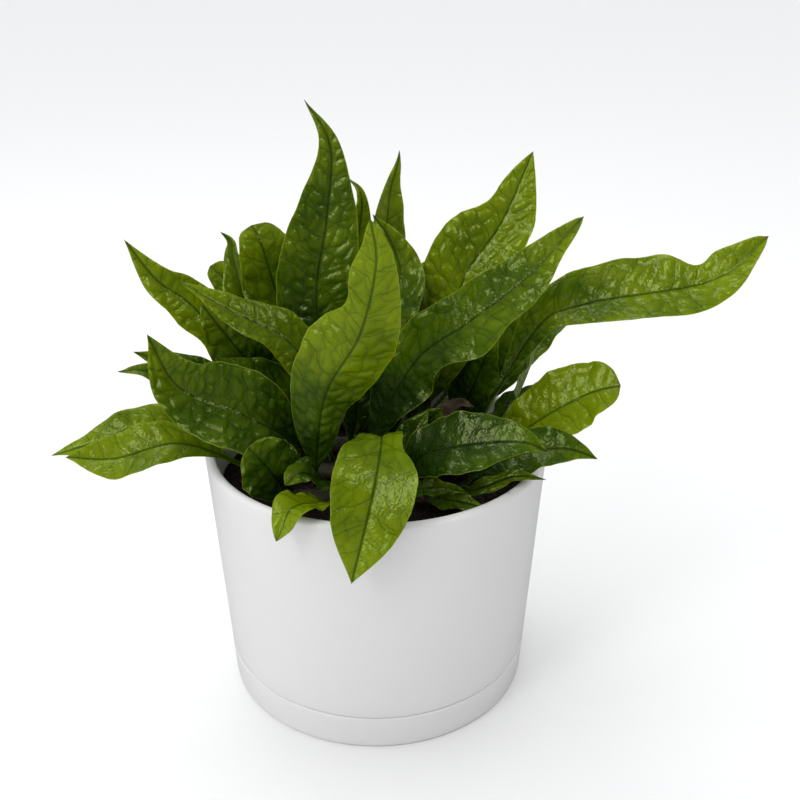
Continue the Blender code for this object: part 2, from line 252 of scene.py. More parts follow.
def frondTree():
    tree = bpy.data.node_groups.new("frondBlade", "GeometryNodeTree")
    lengths = "width ruffle thickness stalkWidth stalkThickness tipWidth rib pucker"
    given = treeInputs(
        tree, lengths, Geometry="midrib", Int="rows round", Material="look",
        Float=lengths + " stalk widest point fold ruffles phase offset tone seed")
    do, plus, times = arithmetic(tree)

    def less(first, second):
        return do("SUBTRACT", first, second)

    curve = passed(tree, "GeometryNodeMeshToCurve", given["midrib"])
    length = passed(tree, "GeometryNodeCurveLength", curve)
    grid = newNode(tree, "GeometryNodeMeshGrid",
                   {"Vertices X": given["rows"], "Vertices Y": given["round"]}).outputs[0]
    place = parted(tree, newNode(tree, "GeometryNodeInputPosition").outputs[0])
    share = plus(place[0], 0.5)  # 0 at the foot, 1 at the tip
    turn = plus(place[1], 0.5)  # up to 0.5 over the upper side, then back under the blade
    around = less(1, times(2, do("ABSOLUTE", less(times(2, turn), 1))))
    side = do("SINE", times(around, math.pi / 2))  # -1 and 1 at the margins, closer rows there
    sideSign = do("SIGN", side)
    sideSquared = times(side, side)
    face = do("SIGN", less(0.5, turn))  # 1 over, -1 under

    # Half the width: a stalk, then a pointed strap, with an uneven margin.
    blade = clamped(tree, do("DIVIDE", less(share, given["stalk"]), less(1, given["stalk"])))
    rest = less(1, given["widest"])
    rise = do("DIVIDE", times(given["point"], given["widest"]), rest)
    shape = times(do("POWER", do("DIVIDE", blade, given["widest"]), rise),
                  do("POWER", do("DIVIDE", less(1, blade), rest), given["point"]))
    stalkHalf = do("MULTIPLY_ADD", less(given["tipWidth"], given["stalkWidth"]), share,
                   given["stalkWidth"])
    stalkHalf = times(stalkHalf, 0.5)
    patch = joined(tree, times(share, form["marginPatches"]),
                   times(sideSign, form["sidesApart"]), given["seed"])
    margin = clouds(tree, patch, 1.0, 3.0)
    bladeHalf = times(given["width"], 0.5, shape,
                      do("MULTIPLY_ADD", margin, form["marginSwing"], form["marginLeast"]))
    half = do("SQRT", plus(times(stalkHalf, stalkHalf), times(bladeHalf, bladeHalf)))
    ends = times(step(tree, share, 0.0, form["footRamp"]),
                 do("SQRT", clamped(tree, times(less(1, share), form["tipRound"]))))
    left, right, _ = parted(tree, sampleCurve(tree, curve, "margins", share)[0])
    swell = do("MULTIPLY_ADD", do("GREATER_THAN", side, 0), less(right, left), left)
    half = times(half, ends, swell)
    broad = do("MINIMUM", 1, do("DIVIDE", half, times(given["width"], 0.5)))

    # Place in the leaf, in mm: what the veins are drawn on.
    along = do("MULTIPLY_ADD", times(share, length), 1 / mm, given["offset"])
    sideways = times(side, half, 1 / mm)
    sideVein, netVein, fromRib = veinNet(tree, along, sideways)
    dome = times(step(tree, sideVein, 0.0, veins["sideValley"]),
                 step(tree, netVein, 0.0, veins["netValley"]))
    flank = times(step(tree, fromRib, form["ribFade"], veins["ribValley"]),
                  step(tree, do("ABSOLUTE", side), *form["marginFade"]),
                  step(tree, blade, 0.0, form["footFade"]))
    pucker = times(dome, flank, given["pucker"])

    # Lift: the fold along the midrib, the ruffled margins and a slow roll of the whole blade.
    wave = plus(times(share, given["ruffles"], 2 * math.pi), given["phase"],
                times(sideSign, form["waveLag"]))
    second = do("SINE", plus(times(wave, form["secondWave"]), form["secondShift"]))
    wave = plus(do("SINE", wave), times(second, form["secondShare"]))
    ruffle = times(given["ruffle"], broad, side, side, wave)
    crease = times(half, do("SINE", given["fold"]),
                   do("SQRT", plus(sideSquared, form["creaseRound"])))
    lateEnd, earlyEnd = form["stalkEnd"]
    stalky = step(tree, share, times(given["stalk"], lateEnd), times(given["stalk"], earlyEnd))
    body = do("MULTIPLY_ADD", less(given["stalkThickness"], given["thickness"]), stalky,
              given["thickness"])
    body = times(body, 0.5, do("SQRT", clamped(tree, less(1, sideSquared))), ends)
    ridge = do("EXPONENT", times(fromRib, fromRib, -form["ridgeSharp"]))
    under = times(given["rib"], ridge, ends,
                  do("MULTIPLY_ADD", share, -form["ridgeFall"], form["ridgeFoot"]))
    groove = times(given["rib"], ridge, -form["groove"], less(1, stalky), ends)
    skin = plus(times(body, face), times(do("GREATER_THAN", face, 0.5), groove),
                times(do("LESS_THAN", face, -0.5), under, -1))
    lift = plus(crease, ruffle, pucker, skin)

    across, spot = sampleCurve(tree, curve, "across", share)
    upper, _ = sampleCurve(tree, curve, "upper", share)
    reach = times(side, half, do("COSINE", given["fold"]))
    for way, distance in ((across, reach), (upper, lift)):
        spot = vector(tree, "ADD", spot, vector(tree, "SCALE", way, distance))

    geometry = store(tree, grid, "leafPlace", joined(tree, along, sideways, side))
    geometry = store(tree, geometry, "leafLook", joined(tree, share, given["tone"], given["seed"]))
    geometry = store(tree, geometry, "leafUnder", do("GREATER_THAN", turn, 0.5), "FLOAT", "FACE")
    geometry = store(tree, geometry, "OFBake", joined(tree, turn, share), "FLOAT2", "CORNER")
    geometry = passed(tree, "GeometryNodeSetPosition", geometry, Position=spot)
    geometry = passed(tree, "GeometryNodeMergeByDistance", geometry, Distance=0.001 * mm)
    geometry = passed(tree, "GeometryNodeSetShadeSmooth", geometry)
    return finished(tree, geometry, given["look"])


# Living leaf. Tones run from 0, deep green, to 1, bright. Sizes of pattern are in mm.

# In leafColours, edge is the colour of the painted highlight along the margins.
leafColours = dict(
    deep=solid(0.008, 0.026, 0.0004), dark=solid(0.034, 0.076, 0.0005),
    bright=solid(0.175, 0.245, 0.0008), vein=solid(0.26, 0.36, 0.25),
    edge=solid(0.22, 0.29, 0.02), under=solid(0.135, 0.190, 0.004),
    brown=solid(0.12, 0.055, 0.015),
)
leafLook = dict(
    patchSize=0.045, patchTone=0.9, fleckSize=0.55, fleckTone=0.16, dome=(0.1, 2.0),
    domeTone=0.08, tips=(0.65, 1.0), tipTone=0.32, shadedFeet=(0.55, 0.05), footShadeTone=0.55,
    darkSpan=(0.0, 0.35), brightSpan=(0.2, 1.0), underShare=0.55, sideWidth=(0.5, 0.1),
    sideLine=0.62, netWidth=(0.2, 0.03), netLine=0.5, ribWidth=(0.85, 0.35), ribLine=0.9,
    highlightWidth=(0.03, 0.004), highlightShare=0.6, burntSpan=(0.985, 1.0), burntSwing=0.03,
    burntShare=0.8, roughness=0.15, fleckRough=0.14, underRough=0.1, wrinkle=2.1,
    wrinkleDepth=1.6, grain=1.1, grainDepth=0.6, lineDepth=0.5, bump=0.25, bumpStrength=0.45,
)


def leafMaterial():
    look, tree, shader = newMaterial("leaf", **{
        "Specular IOR Level": 0.5, "Specular Tint": solid(0.86, 1.0, 0.42),
        "Subsurface Weight": 0.12, "Subsurface Radius": (0.9, 1.0, 0.25),
        "Subsurface Scale": 1.2 * mm})
    do, plus, times = arithmetic(tree)
    along, sideways, side = parted(tree, attribute(tree, "leafPlace")["Vector"])
    share, tone, seed = parted(tree, attribute(tree, "leafLook")["Vector"])
    underneath = attribute(tree, "leafUnder")["Fac"]
    sideVein, netVein, fromRib = veinNet(tree, along, sideways)
    place = joined(tree, along, sideways, seed)

    patch = clouds(tree, place, leafLook["patchSize"], 3.0)  # slow drift of tone over the blade
    fleck = clouds(tree, place, leafLook["fleckSize"])
    shade = plus(tone, swing(tree, patch, leafLook["patchTone"]),
                 times(step(tree, netVein, *leafLook["dome"]), leafLook["domeTone"]),
                 swing(tree, fleck, leafLook["fleckTone"]),
                 step(tree, share, *leafLook["tips"], 0.0, leafLook["tipTone"]))
    # Darker towards each frond's foot: partly the older tissue's own colour, partly painted shade
    # deep in the plant.
    shade = do("SUBTRACT", shade,
               step(tree, share, *leafLook["shadedFeet"], 0.0, leafLook["footShadeTone"]))
    shade = clamped(tree, shade)
    colour = mixed(tree, step(tree, shade, *leafLook["darkSpan"]),
                   leafColours["deep"], leafColours["dark"])
    colour = mixed(tree, step(tree, shade, *leafLook["brightSpan"]),
                   colour, leafColours["bright"])
    colour = mixed(tree, times(underneath, leafLook["underShare"]), colour, leafColours["under"])

    lines = [times(step(tree, distance, *leafLook[kind + "Width"]), leafLook[kind + "Line"])
             for kind, distance in (("side", sideVein), ("net", netVein), ("rib", fromRib))]
    lines = chain(tree, "MAXIMUM", *lines)
    colour = mixed(tree, lines, colour, leafColours["vein"], "MULTIPLY")

    # A thin lighter line along each margin, in the edge colour: a painted highlight where the
    # margin catches the light.
    toMargin = do("SUBTRACT", 1, do("ABSOLUTE", side))
    marginHighlight = times(step(tree, toMargin, *leafLook["highlightWidth"]), leafLook["highlightShare"])
    colour = mixed(tree, marginHighlight, colour, leafColours["edge"])
    burnt = plus(share, swing(tree, fleck, leafLook["burntSwing"]))
    burnt = times(step(tree, burnt, *leafLook["burntSpan"]), leafLook["burntShare"])
    colour = mixed(tree, burnt, colour, leafColours["brown"])
    feed(tree, shader.inputs["Base Color"], colour)

    rough = plus(times(fleck, leafLook["fleckRough"]), times(underneath, leafLook["underRough"]),
                 leafLook["roughness"])
    feed(tree, shader.inputs["Roughness"], rough)
    wrinkle = cells(tree, joined(tree, along, sideways), 1 / leafLook["wrinkle"])
    grain = times(clouds(tree, place, leafLook["grain"], 3.0), leafLook["grainDepth"])
    height = plus(times(wrinkle, leafLook["wrinkleDepth"]),
                  do("MULTIPLY_ADD", lines, -leafLook["lineDepth"], grain))
    bumped(tree, shader, height, leafLook["bump"] * mm, leafLook["bumpStrength"])
    return look


# The plant: where its rhizomes run and how its fronds grow, in millimetres as the frame was drawn.

plant = dict(rimRadius=87.5, soilTop=112.0, rhizomeAxis=117.6, frondFoot=123.0)

rhizomes = dict(
    front=((-50, -38), (0, -33), (48, -38)),
    middle=((-60, -6), (0, -8), (60, -4)),
    back=((-52, 26), (0, 22), (50, 28)),
    rear=((-30, 54), (0, 50), (32, 54)),
)

fronds = (
    dict(grows=("back", 0.38),
         route=((-31, 30, 78), (-25, 34, 127), (-22, 35, 163), (-34, 34, 186)),
         width=43, faces=((-68, 10), (-84, 20)), widest=0.36, point=1.35,
         bulges=((1, 0.86, 0.1, -0.2), (-1, 0.62, 0.12, 0.12)), tone=0.36, pucker=1.0),
    dict(grows=("front", 0.2),
         route=((-23, -42, 62), (-6, -50, 96), (2, -56, 130), (0, -58, 151)),
         width=38, faces=((-85, -5), (-100, 0)), stalk=0.08, widest=0.48, point=0.9,
         fold=-14, bulges=((-1, 0.72, 0.07, -0.38), (-1, 0.52, 0.12, 0.12), (1, 0.85, 0.15, -0.15),
                 (1, 0.28, 0.12, -0.2)), tone=0.62, pucker=0.8),
    dict(grows=("middle", 0.42),
         route=((19, -14, 68), (45, -20, 92), (71, -26, 117), (93, -30, 145)),
         width=33, faces=((-110, 40), (-90, 40)), stalk=0.1, point=0.8, ruffle=2.2, ruffles=4.5,
         bulges=((1, 0.32, 0.06, 0.2), (1, 0.46, 0.05, -0.14), (1, 0.6, 0.06, 0.2),
                 (1, 0.92, 0.08, -0.25)), tone=0.36),
    dict(grows=("back", 0.74),
         route=((36, 36, 62), (47, 40, 97), (65, 46, 123), (80, 52, 158)),
         width=45, faces=((-112, 20), (-88, 20)), point=1.0,
         bulges=((-1, 0.82, 0.06, -0.18), (-1, 0.66, 0.07, 0.14), (1, 0.84, 0.1, 0.1)),
         tone=0.66, pucker=1.1),
    dict(grows=("back", 0.52), route=((4, 34, 68), (13, 40, 92), (8, 44, 112), (-2, 46, 127)),
         width=35, faces=((-118, 10), (-108, 30)), tone=0.35),
    dict(grows=("rear", 0.6), route=((4, 54, 78), (6, 58, 129), (11, 60, 150), (12, 60, 157)),
         width=27, faces=((-55, 10), (-55, 10)), tone=0.55),
    dict(grows=("middle", 0.85),
         route=((76, -8, 80), (98, -12, 97), (154, -24, 113), (177, -26, 135)),
         width=36, faces=((-130, 50), (-90, 50)), stalk=0.2, widest=0.62, point=0.8, fold=20,
         bulges=((-1, 0.82, 0.05, -0.42), (1, 0.77, 0.08, 0.12), (1, 0.94, 0.06, -0.3),
                 (1, 0.5, 0.12, -0.15),
                 (-1, 0.55, 0.12, 0.14)), tone=0.52, pucker=0.9),
    dict(grows=("middle", 0.97), route=((82, -16, 39), (102, -22, 55), (117, -28, 63)),
         width=36, faces=((-110, 50), (-80, 50)), widest=0.6, point=0.4, tone=0.92),
    dict(grows=("front", 0.66),
         route=((22, -44, 33), (42, -54, 44), (66, -62, 50), (79, -66, 47)),
         width=32, faces=((-100, 50), (-90, 50)), tone=0.05, pucker=0.4),
    dict(grows=("front", 0.92),
         route=((55, -36, 24), (76, -40, 34), (92, -44, 37), (105, -48, 34)),
         width=25, faces=((-100, 60), (-90, 50)), tone=0.2, pucker=0.4),
    dict(grows=("front", 0.5), route=((0, -44, 36), (4, -62, 52), (1, -86, 40), (-9, -100, 0)),
         width=38, faces=((90, 40), (-90, 5)), stalk=0.22, widest=0.54, point=1.15,
         bulges=((-1, 0.48, 0.08, -0.35), (1, 0.44, 0.06, -0.15)), tone=0.55, pucker=0.4),
    dict(grows=("front", 0.36),
         route=((-19, -52, 12), (-28, -70, 23), (-36, -83, 27), (-42, -91, 16)),
         width=20, faces=((60, 60), (-110, 50)), widest=0.6, point=0.9, tone=0.75, pucker=0.5),
    dict(grows=("front", 0.29), route=((-26, -46, 22), (-34, -53, 29), (-41, -59, 26)),
         width=18, faces=((-100, 60), (-110, 60)), point=0.7, tone=0.15),
    dict(grows=("front", 0.1), route=((-46, -44, 20), (-51, -49, 31), (-58, -53, 43)),
         width=31, faces=((-75, 25), (-70, 30)), stalk=0.18, widest=0.55, point=0.5, tone=0.2),
    dict(grows=("middle", 0.18),
         route=((-40, -20, 28), (-64, -31, 49), (-90, -40, 67), (-101, -44, 95)),
         width=44, faces=((-70, 45), (-60, 20)), fold=24, ruffle=0.8, tone=0.3, pucker=1.0),
    dict(grows=("middle", 0.31),
         route=((-30, -4, 54), (-44, -6, 78), (-67, -12, 94), (-91, -16, 111)),
         width=25, faces=((-70, 40), (-80, 50)), tone=0.5),
    dict(grows=("back", 0.07),
         route=((-67, 20, 52), (-93, 17, 87), (-108, 12, 102), (-121, 8, 124)),
         width=28, faces=((-70, 30), (-80, 30)), bulges=((-1, 0.55, 0.08, -0.25),), tone=0.75),
    dict(grows=("rear", 0.02),
         route=((-66, 54, 65), (-77, 58, 97), (-78, 60, 108), (-84, 60, 114)),
         width=25, faces=((-30, 20), (-120, 20)), tone=0.3),
    dict(grows=("back", 0.26),
         route=((-42, 41, 50), (-54, 47, 84), (-61, 50, 110), (-66, 54, 119)),
         width=37, faces=((-68, 15), (-70, 50)), widest=0.66, point=0.4, tone=0.35),
    dict(grows=("middle", 0.03),
         route=((-80, -6, 22), (-113, -12, 34), (-138, -16, 27), (-163, -18, 20)),
         width=25, faces=((-90, 70), (-90, 60)), tone=0.6),
    dict(grows=("front", 0.02),
         route=((-66, -34, 24), (-93, -40, 38), (-122, -46, 33), (-144, -50, 36)),
         width=28, faces=((-80, 60), (-90, 60)), stalk=0.16, widest=0.64, tone=0.62, pucker=0.45),
    dict(grows=("back", 0.004), route=((-77, 16, 30), (-115, 12, 52), (-133, 10, 54)),
         width=22, faces=((-90, 60), (-90, 60)), tone=0.3),
    dict(grows=("middle", 0.1), route=((-71, -6, 43), (-98, -9, 64), (-118, -10, 73)),
         width=24, faces=((-90, 50), (-90, 50)), tone=0.2),
    dict(grows=("back", 0.17), route=((-55, 15, 44), (-71, 9, 68), (-86, 6, 92)),
         width=35, faces=((-76, 20), (-76, 20)), point=0.8, tone=0.3, pucker=1.0),
    dict(grows=("middle", 0.24), route=((-42, 0, 34), (-58, 0, 50), (-80, -1, 66)),
         width=32, faces=((-75, 40), (-75, 40)), tone=0.1),
    dict(grows=("rear", 0.11), route=((-42, 62, 32), (-70, 74, 66), (-94, 76, 90)),
         width=26, faces=((-80, 20), (-80, 50)), widest=0.66, point=0.4, tone=0.4),
    dict(grows=("back", 0.86), route=((48, 26, 30), (57, 26, 54), (63, 26, 72)),
         width=30, faces=((-132, 20), (-124, 30)), tone=0.15),
    dict(grows=("middle", 0.63), route=((19, -12, 24), (25, -17, 38), (33, -21, 48)),
         width=20, faces=((-70, 20), (-80, 20)), tone=0.1),
    dict(grows=("rear", 0.88), route=((30, 54, 60), (34, 58, 92), (40, 60, 112)),
         width=30, faces=((-70, 10), (-70, 10)), tone=0.3),
    dict(grows=("rear", 0.34), route=((-12, 58, 90), (-8, 62, 130), (-15, 64, 142)),
         width=20, faces=((-130, 10), (-60, 10)), tone=0.5),
    dict(grows=("front", 0.76), route=((30, -49, 14), (42, -56, 15), (53, -60, 14)),
         width=12, faces=((-90, 60), (-90, 60)), tone=0.25, pucker=0.4),
    dict(grows=("front", 0.57), route=((18, -45, 16), (32, -51, 20), (44, -55, 20)),
         width=11, faces=((-90, 50), (-90, 70)), tone=0.25, pucker=0.4),
    dict(grows=("front", 0.83), route=((46, -50, 18), (66, -54, 28), (80, -57, 28)),
         width=8, faces=((-90, 60), (-90, 50)), tone=0.3, pucker=0.4),
    dict(grows=("rear", 0.26), route=((-22, 84, 42), (-38, 104, 70), (-48, 118, 78)),
         width=34, faces=((-60, 50), (-60, 60)), tone=0.35),
    dict(grows=("rear", 0.48), route=((-10, 76, 50), (-18, 98, 84), (-24, 117, 100)),
         width=36, faces=((-80, 40), (-80, 50)), tone=0.4),
    dict(grows=("rear", 0.73), route=((22, 78, 48), (32, 100, 78), (40, 118, 86)),
         width=36, faces=((-100, 45), (-100, 60)), tone=0.35),
    dict(grows=("rear", 0.98), route=((54, 70, 36), (78, 88, 56), (96, 100, 56)),
         width=32, faces=((-130, 50), (-130, 60)), tone=0.4),
    dict(grows=("back", 0.97), route=((64, 40, 38), (92, 52, 64), (120, 60, 72)),
         width=32, faces=((-120, 40), (-130, 50)), tone=0.35),
    dict(grows=("middle", 0.93), route=((70, 8, 34), (79, 11, 56), (84, 13, 76)),
         width=24, faces=((170, 20), (160, 40)), stalk=0.25, tone=0.3),
    dict(grows=("back", 0.9), route=((59, 19, 16), (80, 24, 34), (97, 25, 38)),
         width=24, faces=((180, 60), (10, 70)), tone=0.25),
    dict(grows=("back", 0.042), route=((-60, 38, 17), (-82, 44, 34), (-99, 50, 38)),
         width=26, faces=((-30, 60), (-40, 70)), tone=0.3),
    dict(grows=("rear", 0.41), route=((-8, 66, 16), (-16, 84, 30), (-20, 106, 23)),
         width=28, faces=((-90, 60), (90, 60)), widest=0.55, tone=0.35),
    dict(grows=("rear", 0.66), route=((12, 66, 14), (14, 84, 28), (18, 107, 18)),
         width=26, faces=((-100, 60), (80, 50)), widest=0.55, tone=0.4),
    dict(grows=("rear", 0.8), route=((30, 68, 17), (48, 82, 31), (66, 96, 25)),
         width=24, faces=((-130, 60), (50, 60)), widest=0.55, tone=0.35),
    dict(grows=("rear", 0.19), route=((-30, 68, 16), (-46, 79, 32), (-62, 92, 26)),
         width=27, faces=((-50, 60), (130, 60)), widest=0.55, tone=0.4),
    dict(grows=("middle", 0.55), route=((8, -2, 30), (14, 4, 60), (16, 8, 84)),
         width=24, faces=((-150, 10), (-140, 10)), tone=0.15),
    dict(grows=("middle", 0.36), route=((-11, 1, 30), (-10, 8, 56), (-9, 12, 80)),
         width=26, faces=((-40, 10), (-50, 15)), tone=0.12),
    dict(grows=("back", 0.62), route=((20, 18, 30), (27, 18, 58), (33, 17, 80)),
         width=24, faces=((-140, 15), (-130, 20)), tone=0.15),
    dict(grows=("front", 0.62), route=((12, -30, 16), (18, -26, 34), (26, -24, 48)),
         width=18, faces=((-120, 20), (-110, 20)), tone=0.12),
)
deadFrond = dict(grows=("middle", 0.72), route=((34, 4, 30), (42, 6, 37), (51, 6, 36)),
                 width=12, faces=((-90, 40), (-90, 60)), fold=30, tone=0.5, seed=40)

usualFrond = dict(stalk=0.12, widest=0.45, point=1.15, fold=14, ruffle=1.4, ruffles=3.5,
                  bulges=(), pucker=0.7)

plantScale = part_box("pot")[1].x / mm / plant["rimRadius"]


def bowed(three, share):  # a smooth line through three places at shares 0, 0.5 and 1
    first, middle, last = (Vector(place) for place in three)
    bend = 2 * middle - (first + last) / 2
    return (1 - share) ** 2 * first + 2 * share * (1 - share) * bend + share**2 * last


def rhizomePlace(arm, share):
    flat = bowed(rhizomes[arm], share) * plantScale
    return Vector((flat.x, flat.y, plant["rhizomeAxis"]))


def smoothRoute(places, count):  # even points on the smooth curve through these places
    places = np.array(places, float)
    ends = np.vstack([2 * places[0] - places[1], places, 2 * places[-1] - places[-2]])
    fine = []
    for i in range(len(places) - 1):
        a, b, c, d = ends[i : i + 4]
        for t in np.linspace(0, 1, 60, endpoint=i == len(places) - 2):
            bend = 2 * b + (c - a) * t + (2 * a - 5 * b + 4 * c - d) * t**2
            fine.append((bend + (3 * b - a - 3 * c + d) * t**3) / 2)
    fine = np.array(fine)
    run = np.concatenate([[0], np.cumsum(np.linalg.norm(np.diff(fine, axis=0), axis=1))])
    even = np.linspace(0, run[-1], count)
    return np.stack([np.interp(even, run, fine[:, axis]) for axis in range(3)], axis=1), run[-1]


def direction(heading, rise):
    heading, rise = math.radians(heading), math.radians(rise)
    level = math.cos(rise)
    return np.array([level * math.cos(heading), level * math.sin(heading), math.sin(rise)])


def unit(vectors):
    return vectors / np.linalg.norm(vectors, axis=-1, keepdims=True)


def swelling(entry, side, share):  # how much wider than the even strap one margin is
    total = np.ones(len(share))
    for which, centre, spread, amount in entry["bulges"]:
        if which == side:
            total += amount * np.exp(-(((share - centre) / spread) ** 2))
    return total


def guideLine(name, points, **vectors):  # a bare line of points for a tree to work on
    mesh = bpy.data.meshes.new(name)
    links = [(i, i + 1) for i in range(len(points) - 1)]
    mesh.from_pydata([tuple(point * mm) for point in points], links, [])
    for key, values in vectors.items():
        kept = mesh.attributes.new(key, "FLOAT_VECTOR", "POINT")
        kept.data.foreach_set("vector", np.array(values, np.float32).ravel())
    return placed(name, mesh)


blade = dict(stations=81, rowLength=0.9, roundStep=0.95, leastRound=10, thickness=0.5,
             stalkWidth=2.6, stalkThickness=2.2, tipWidth=0.5, rib=0.8, phaseStep=2.4,
             patternStep=300.0)


def growFrond(name, number, entry, slot, look, node):  # the number gives each its own pattern
    entry = usualFrond | entry
    foot = rhizomePlace(*entry["grows"])
    places = [(foot.x, foot.y, plant["frondFoot"])]
    for x, y, z in entry["route"]:
        places.append((x * plantScale, y * plantScale, plant["soilTop"] + z * plantScale))
    midrib, length = smoothRoute(places, blade["stations"])
    along = unit(np.gradient(midrib, axis=0))
    share = np.linspace(0, 1, len(midrib))[:, None]
    first, last = (direction(*way) for way in entry["faces"])
    facing = first * (1 - share) + last * share
    upper = unit(facing - along * np.sum(facing * along, axis=1, keepdims=True))
    margins = np.stack([swelling(entry, side, share[:, 0]) for side in (-1, 1, 0)], axis=1)
    guide = guideLine(name, midrib, across=np.cross(along, upper), upper=upper, margins=margins)
    width = entry["width"] * plantScale
    values = entry | blade | dict(
        width=width, fold=math.radians(entry["fold"]), phase=blade["phaseStep"] * number,
        offset=blade["patternStep"] * number, seed=float(number), look=look,
        rows=round(length / blade["rowLength"]),
        round=2 * round(max(blade["leastRound"], width / blade["roundStep"])) + 1)
    settle(plainMesh(guide, bladeTree, values), slot, node)


bladeTree = frondTree()
leaf = leafMaterial()
for number, entry in enumerate(fronds, 1):
    growFrond(f"frondBlade{number:02d}", number, entry, "frond", leaf, f"frond_{number:02d}")
print("fronds grown:", len(fronds))


deadLook = dict(dark=solid(0.045, 0.026, 0.012), light=solid(0.15, 0.10, 0.05),
                rib=solid(0.05, 0.03, 0.015), ribWidth=(1.0, 0.3), ribShare=0.6, blotch=0.16,
                blotchSpan=(0.35, 0.65), netDepth=0.8, grain=0.8, roughness=0.75, bump=0.3,
                bumpStrength=0.8)


def deadLeafMaterial():
    look, tree, shader = newMaterial("deadLeaf", Roughness=deadLook["roughness"])
    _, plus, times = arithmetic(tree)
    along, sideways, _ = parted(tree, attribute(tree, "leafPlace")["Vector"])
    _, netVein, fromRib = veinNet(tree, along, sideways)
    place = joined(tree, along, sideways)
    blotch = clouds(tree, place, deadLook["blotch"], 4.0)
    blotch = step(tree, blotch, *deadLook["blotchSpan"])
    colour = mixed(tree, blotch, deadLook["dark"], deadLook["light"])
    ribLine = times(step(tree, fromRib, *deadLook["ribWidth"]), deadLook["ribShare"])
    feed(tree, shader.inputs["Base Color"], mixed(tree, ribLine, colour, deadLook["rib"]))
    height = plus(clouds(tree, place, deadLook["grain"], 4.0),
                  step(tree, netVein, 0.0, deadLook["netDepth"]))
    bumped(tree, shader, height, deadLook["bump"] * mm, deadLook["bumpStrength"])
    return look


growFrond("deadFrond", deadFrond["seed"], deadFrond, "dead_frond", deadLeafMaterial(),
          "dead_frond")


# Turned ceramics, in millimetres.

pot = dict(footRadius=80.0, saucerHeight=19.0, wall=5.0, floor=6.0, rimRound=2.4, saucerWall=4.5,
           saucerFloor=5.0, footRound=1.6, clearance=1.0, drainRadius=6.0, gap=0.3, edge=0.9,
           bevel=0.5, spigotBevel=0.6, straightRim=8, lipIn=0.4, lipDown=0.3,
           saucerRings=(14, 9, 4), steps=240)
pot["rimRadius"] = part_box("pot")[1].x / mm
pot["top"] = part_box("pot")[1].z / mm

spigotRadius = pot["footRadius"] - pot["saucerWall"] - pot["clearance"]  # the part in the saucer
shoulder = pot["saucerHeight"] + pot["gap"]
innerFoot = spigotRadius - pot["wall"]
innerFloor = pot["saucerFloor"] + pot["gap"] + pot["floor"]
innerStep = shoulder + pot["wall"]


def outerRadius(height):  # the one straight taper that the saucer and the pot share
    return pot["footRadius"] + (pot["rimRadius"] - pot["footRadius"]) * height / pot["top"]


def arc(centre, radius, start, end, steps):
    angles = [math.radians(start + (end - start) * i / steps) for i in range(steps + 1)]
    return [(centre[0] + radius * math.cos(a), centre[1] + radius * math.sin(a)) for a in angles]


def revolve(name, profile, closed, steps, look):  # a profile of radius and height, turned
    points = []
    rings = []
    for radius, height in profile:
        if radius < 0.001:
            rings.append([len(points)])
            points.append((0, 0, height * mm))
            continue
        rings.append(list(range(len(points), len(points) + steps)))
        for i in range(steps):
            turn = 2 * math.pi * i / steps
            x, y = radius * mm * math.cos(turn), radius * mm * math.sin(turn)
            points.append((x, y, height * mm))
    faces = []
    pairs = list(zip(rings, rings[1:])) + ([(rings[-1], rings[0])] if closed else [])
    for upperRing, lowerRing in pairs:
        for i in range(steps):
            corners = [upperRing[i % len(upperRing)], upperRing[(i + 1) % len(upperRing)]]
            corners += [lowerRing[(i + 1) % len(lowerRing)], lowerRing[i % len(lowerRing)]]
            faces.append(tuple(dict.fromkeys(corners)))
    mesh = bpy.data.meshes.new(name)
    mesh.from_pydata(points, [], faces)
    work = bmesh.new()
    work.from_mesh(mesh)
    bmesh.ops.recalc_face_normals(work, faces=work.faces)
    work.to_mesh(mesh)
    work.free()
    mesh.shade_smooth()
    mesh.materials.append(look)
    return placed(name, mesh)


glazeLook = dict(dark=solid(0.77, 0.765, 0.765), light=solid(0.81, 0.805, 0.80), roughness=0.28,
                 roughSwing=0.14, drift=14.0, smears=90.0, pits=420.0, waves=60.0,
                 bump=0.02, bumpStrength=0.5)


def glazeMaterial():
    look, tree, shader = newMaterial("whiteGlaze", **{"Coat Weight": 0.15, "Coat Roughness": 0.3})
    do, plus, times = arithmetic(tree)
    place = objectPlace(tree)
    drift = clouds(tree, place, glazeLook["drift"], 3.0)
    feed(tree, shader.inputs["Base Color"],
         mixed(tree, drift, glazeLook["dark"], glazeLook["light"]))
    smears = clouds(tree, place, glazeLook["smears"], 3.0)
    feed(tree, shader.inputs["Roughness"],
         do("MULTIPLY_ADD", smears, glazeLook["roughSwing"], glazeLook["roughness"]))
    peel = plus(clouds(tree, place, glazeLook["pits"]),
                times(clouds(tree, place, glazeLook["waves"]), 2))
    bumped(tree, shader, peel, glazeLook["bump"] * mm, glazeLook["bumpStrength"])
    return look


